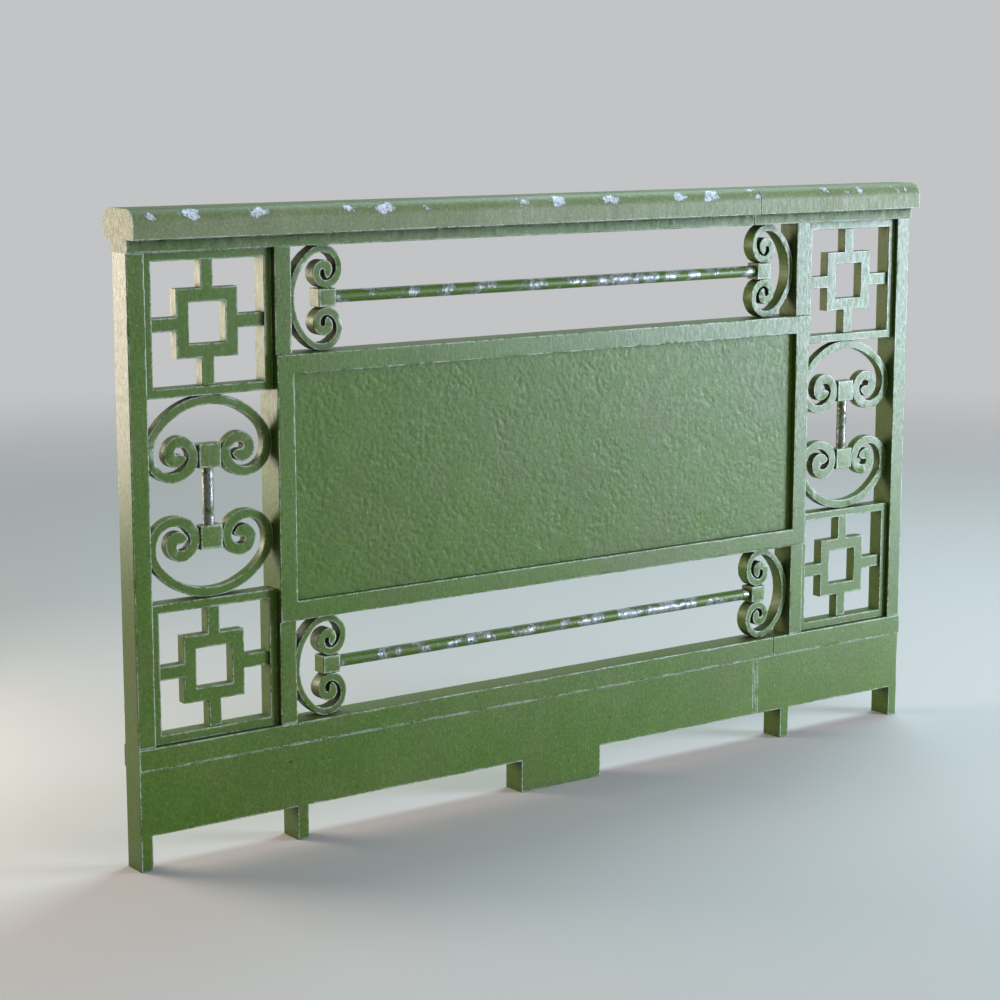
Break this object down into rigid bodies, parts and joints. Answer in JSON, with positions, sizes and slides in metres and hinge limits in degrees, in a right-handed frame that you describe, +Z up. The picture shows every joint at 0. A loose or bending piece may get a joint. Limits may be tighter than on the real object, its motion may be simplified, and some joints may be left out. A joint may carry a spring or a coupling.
{
  "type": "metal fence panel",
  "caption": "Open metal fence panel with a rounded cap rail, recessed centre panel, square key frets, facing C-scrolls with collars and rods, and a skirt on feet.",
  "frame": {"origin": "centre of the middle foot's underside, midway between front and back", "axes": "+X along the panel to the right as seen from the front, +Y from the front to the back, +Z up"},
  "size_m": [1.8, 0.105, 1.128],
  "materials": {
    "green_paint": "worn satin",
    "worn_rod": "paint worn through to speckled metal"
  },
  "bodies": {
    "root": {"base_skirt_long": "green_paint", "base_skirt_short": "green_paint", "bottom_rail_long": "green_paint", "bottom_rail_short": "green_paint", "cap_rail_long": "green_paint", "cap_rail_short": "green_paint", "centre_rail_lower": "green_paint", "centre_rail_upper": "green_paint", "centre_sheet_back": "green_paint", "centre_sheet_front": "green_paint", "centre_stile_left": "green_paint", "centre_stile_right": "green_paint", "corner_frame_lower_left": "green_paint", "corner_frame_lower_right": "green_paint", "corner_frame_upper_left": "green_paint", "corner_frame_upper_right": "green_paint", "end_post_left": "green_paint", "end_post_right": "green_paint", "key_fret_lower_left": "green_paint", "key_fret_lower_right": "green_paint", "key_fret_upper_left": "green_paint", "key_fret_upper_right": "green_paint", "neck_band_long": "green_paint", "neck_band_short": "green_paint", "ring_collar_lower_left": "green_paint", "ring_collar_lower_right": "green_paint", "ring_collar_upper_left": "green_paint", "ring_collar_upper_right": "green_paint", "ring_rod_left": "worn_rod", "ring_rod_right": "worn_rod", "ring_scroll_lower_left": "green_paint", "ring_scroll_lower_right": "green_paint", "ring_scroll_upper_left": "green_paint", "ring_scroll_upper_right": "green_paint", "slot_collar_lower_left": "green_paint", "slot_collar_lower_right": "green_paint", "slot_collar_upper_left": "green_paint", "slot_collar_upper_right": "green_paint", "slot_rod_lower": "green_paint", "slot_rod_upper": "green_paint", "slot_scroll_lower_left": "green_paint", "slot_scroll_lower_right": "green_paint", "slot_scroll_upper_left": "green_paint", "slot_scroll_upper_right": "green_paint", "stub_post_lower_left": "green_paint", "stub_post_lower_right": "green_paint", "stub_post_upper_left": "green_paint", "stub_post_upper_right": "green_paint"}
  },
  "joints": []
}
